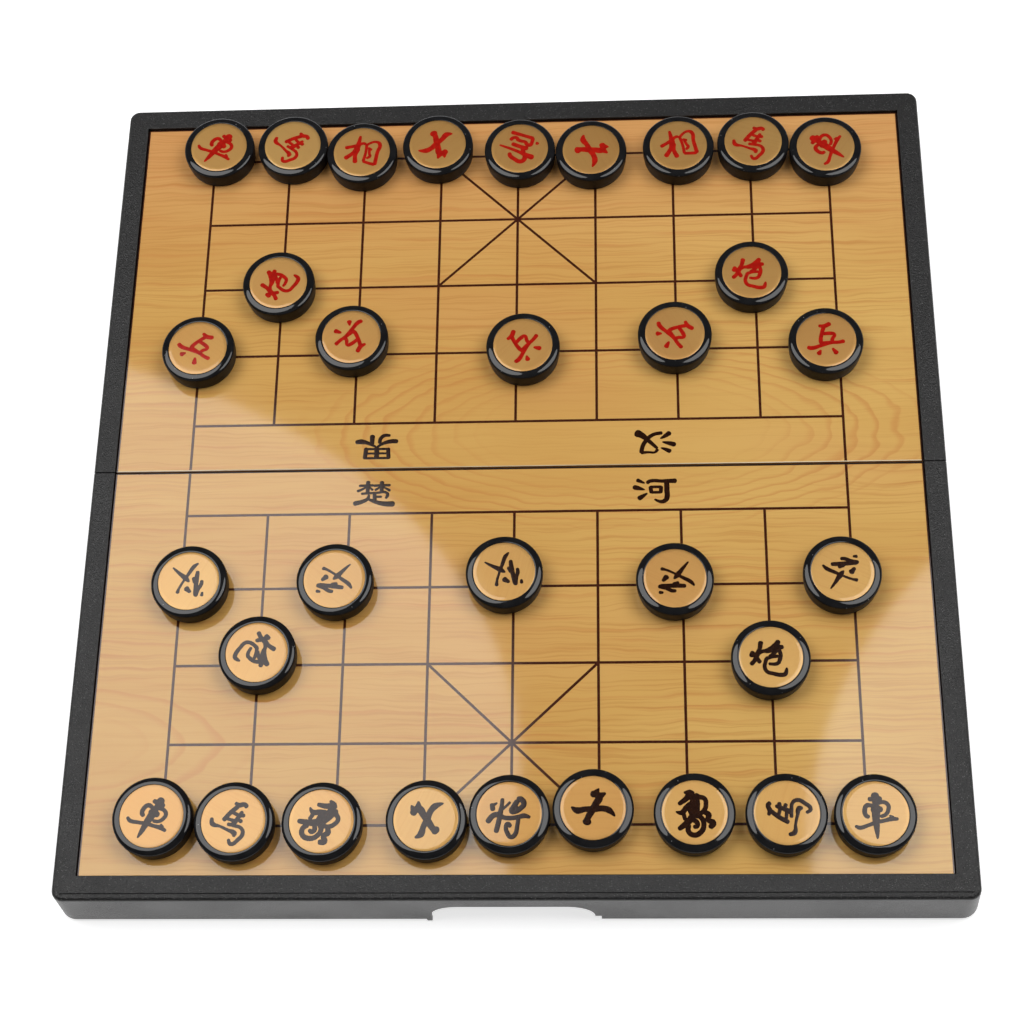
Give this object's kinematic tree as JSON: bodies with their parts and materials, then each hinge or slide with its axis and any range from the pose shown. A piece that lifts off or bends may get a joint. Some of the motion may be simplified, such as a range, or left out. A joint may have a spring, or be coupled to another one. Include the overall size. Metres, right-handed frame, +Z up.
{
  "type": "folding chess box",
  "caption": "Folding box for Chinese chess: two hinged black tray halves with a printed grid board on top and magnetic disc pieces",
  "frame": {"origin": "on the table under the middle of the seam between the two halves, box open flat", "axes": "+X along the seam to the right, +Y from the near half to the far half, +Z up out of the playing face"},
  "size_m": [0.2484, 0.2528, 0.0242],
  "materials": {
    "case_plastic": "fine-grained black moulding, satin where it is handled",
    "backing_steel": "thin tinned sheet, unseen under the panel",
    "printed_panel": "glossy print of golden wood figure with a black grid",
    "pin_steel": "drawn wire",
    "red_piece": "glossy black ring with a printed wood-coloured top and a red character",
    "black_piece": "glossy black ring with a printed wood-coloured top and a black character"
  },
  "bodies": {
    "near_half": {"near_case": "case_plastic", "near_steel_sheet": "backing_steel", "near_panel": "printed_panel", "left_hinge_pin": "pin_steel", "right_hinge_pin": "pin_steel"},
    "far_half": {"far_case": "case_plastic", "far_steel_sheet": "backing_steel", "far_panel": "printed_panel"},
    "red_chariot_left_piece": {"red_chariot_left": "red_piece"},
    "red_horse_left_piece": {"red_horse_left": "red_piece"},
    "red_elephant_left_piece": {"red_elephant_left": "red_piece"},
    "red_advisor_left_piece": {"red_advisor_left": "red_piece"},
    "red_general_piece": {"red_general": "red_piece"},
    "red_advisor_right_piece": {"red_advisor_right": "red_piece"},
    "red_elephant_right_piece": {"red_elephant_right": "red_piece"},
    "red_horse_right_piece": {"red_horse_right": "red_piece"},
    "red_chariot_right_piece": {"red_chariot_right": "red_piece"},
    "red_cannon_left_piece": {"red_cannon_left": "red_piece"},
    "red_cannon_right_piece": {"red_cannon_right": "red_piece"},
    "red_soldier_1_piece": {"red_soldier_1": "red_piece"},
    "red_soldier_2_piece": {"red_soldier_2": "red_piece"},
    "red_soldier_3_piece": {"red_soldier_3": "red_piece"},
    "red_soldier_4_piece": {"red_soldier_4": "red_piece"},
    "red_soldier_5_piece": {"red_soldier_5": "red_piece"},
    "black_chariot_left_piece": {"black_chariot_left": "black_piece"},
    "black_horse_left_piece": {"black_horse_left": "black_piece"},
    "black_elephant_left_piece": {"black_elephant_left": "black_piece"},
    "black_advisor_left_piece": {"black_advisor_left": "black_piece"},
    "black_general_piece": {"black_general": "black_piece"},
    "black_advisor_right_piece": {"black_advisor_right": "black_piece"},
    "black_elephant_right_piece": {"black_elephant_right": "black_piece"},
    "black_horse_right_piece": {"black_horse_right": "black_piece"},
    "black_chariot_right_piece": {"black_chariot_right": "black_piece"},
    "black_cannon_left_piece": {"black_cannon_left": "black_piece"},
    "black_cannon_right_piece": {"black_cannon_right": "black_piece"},
    "black_soldier_1_piece": {"black_soldier_1": "black_piece"},
    "black_soldier_2_piece": {"black_soldier_2": "black_piece"},
    "black_soldier_3_piece": {"black_soldier_3": "black_piece"},
    "black_soldier_4_piece": {"black_soldier_4": "black_piece"},
    "black_soldier_5_piece": {"black_soldier_5": "black_piece"}
  },
  "joints": [
    {"name": "fold", "type": "hinge", "parent": "near_half", "child": "far_half", "pos_m": [0, 0, 0.0022], "axis": [-1, 0, 0], "range_deg": [0, 180]},
    {"name": "red_chariot_left_lift", "type": "slide", "parent": "far_half", "child": "red_chariot_left_piece", "axis": [0, 0, 1], "range_m": [0, 0.025]},
    {"name": "red_horse_left_lift", "type": "slide", "parent": "far_half", "child": "red_horse_left_piece", "axis": [0, 0, 1], "range_m": [0, 0.025]},
    {"name": "red_elephant_left_lift", "type": "slide", "parent": "far_half", "child": "red_elephant_left_piece", "axis": [0, 0, 1], "range_m": [0, 0.025]},
    {"name": "red_advisor_left_lift", "type": "slide", "parent": "far_half", "child": "red_advisor_left_piece", "axis": [0, 0, 1], "range_m": [0, 0.025]},
    {"name": "red_general_lift", "type": "slide", "parent": "far_half", "child": "red_general_piece", "axis": [0, 0, 1], "range_m": [0, 0.025]},
    {"name": "red_advisor_right_lift", "type": "slide", "parent": "far_half", "child": "red_advisor_right_piece", "axis": [0, 0, 1], "range_m": [0, 0.025]},
    {"name": "red_elephant_right_lift", "type": "slide", "parent": "far_half", "child": "red_elephant_right_piece", "axis": [0, 0, 1], "range_m": [0, 0.025]},
    {"name": "red_horse_right_lift", "type": "slide", "parent": "far_half", "child": "red_horse_right_piece", "axis": [0, 0, 1], "range_m": [0, 0.025]},
    {"name": "red_chariot_right_lift", "type": "slide", "parent": "far_half", "child": "red_chariot_right_piece", "axis": [0, 0, 1], "range_m": [0, 0.025]},
    {"name": "red_cannon_left_lift", "type": "slide", "parent": "far_half", "child": "red_cannon_left_piece", "axis": [0, 0, 1], "range_m": [0, 0.025]},
    {"name": "red_cannon_right_lift", "type": "slide", "parent": "far_half", "child": "red_cannon_right_piece", "axis": [0, 0, 1], "range_m": [0, 0.025]},
    {"name": "red_soldier_1_lift", "type": "slide", "parent": "far_half", "child": "red_soldier_1_piece", "axis": [0, 0, 1], "range_m": [0, 0.025]},
    {"name": "red_soldier_2_lift", "type": "slide", "parent": "far_half", "child": "red_soldier_2_piece", "axis": [0, 0, 1], "range_m": [0, 0.025]},
    {"name": "red_soldier_3_lift", "type": "slide", "parent": "far_half", "child": "red_soldier_3_piece", "axis": [0, 0, 1], "range_m": [0, 0.025]},
    {"name": "red_soldier_4_lift", "type": "slide", "parent": "far_half", "child": "red_soldier_4_piece", "axis": [0, 0, 1], "range_m": [0, 0.025]},
    {"name": "red_soldier_5_lift", "type": "slide", "parent": "far_half", "child": "red_soldier_5_piece", "axis": [0, 0, 1], "range_m": [0, 0.025]},
    {"name": "black_chariot_left_lift", "type": "slide", "parent": "near_half", "child": "black_chariot_left_piece", "axis": [0, 0, 1], "range_m": [0, 0.025]},
    {"name": "black_horse_left_lift", "type": "slide", "parent": "near_half", "child": "black_horse_left_piece", "axis": [0, 0, 1], "range_m": [0, 0.025]},
    {"name": "black_elephant_left_lift", "type": "slide", "parent": "near_half", "child": "black_elephant_left_piece", "axis": [0, 0, 1], "range_m": [0, 0.025]},
    {"name": "black_advisor_left_lift", "type": "slide", "parent": "near_half", "child": "black_advisor_left_piece", "axis": [0, 0, 1], "range_m": [0, 0.025]},
    {"name": "black_general_lift", "type": "slide", "parent": "near_half", "child": "black_general_piece", "axis": [0, 0, 1], "range_m": [0, 0.025]},
    {"name": "black_advisor_right_lift", "type": "slide", "parent": "near_half", "child": "black_advisor_right_piece", "axis": [0, 0, 1], "range_m": [0, 0.025]},
    {"name": "black_elephant_right_lift", "type": "slide", "parent": "near_half", "child": "black_elephant_right_piece", "axis": [0, 0, 1], "range_m": [0, 0.025]},
    {"name": "black_horse_right_lift", "type": "slide", "parent": "near_half", "child": "black_horse_right_piece", "axis": [0, 0, 1], "range_m": [0, 0.025]},
    {"name": "black_chariot_right_lift", "type": "slide", "parent": "near_half", "child": "black_chariot_right_piece", "axis": [0, 0, 1], "range_m": [0, 0.025]},
    {"name": "black_cannon_left_lift", "type": "slide", "parent": "near_half", "child": "black_cannon_left_piece", "axis": [0, 0, 1], "range_m": [0, 0.025]},
    {"name": "black_cannon_right_lift", "type": "slide", "parent": "near_half", "child": "black_cannon_right_piece", "axis": [0, 0, 1], "range_m": [0, 0.025]},
    {"name": "black_soldier_1_lift", "type": "slide", "parent": "near_half", "child": "black_soldier_1_piece", "axis": [0, 0, 1], "range_m": [0, 0.025]},
    {"name": "black_soldier_2_lift", "type": "slide", "parent": "near_half", "child": "black_soldier_2_piece", "axis": [0, 0, 1], "range_m": [0, 0.025]},
    {"name": "black_soldier_3_lift", "type": "slide", "parent": "near_half", "child": "black_soldier_3_piece", "axis": [0, 0, 1], "range_m": [0, 0.025]},
    {"name": "black_soldier_4_lift", "type": "slide", "parent": "near_half", "child": "black_soldier_4_piece", "axis": [0, 0, 1], "range_m": [0, 0.025]},
    {"name": "black_soldier_5_lift", "type": "slide", "parent": "near_half", "child": "black_soldier_5_piece", "axis": [0, 0, 1], "range_m": [0, 0.025]}
  ]
}
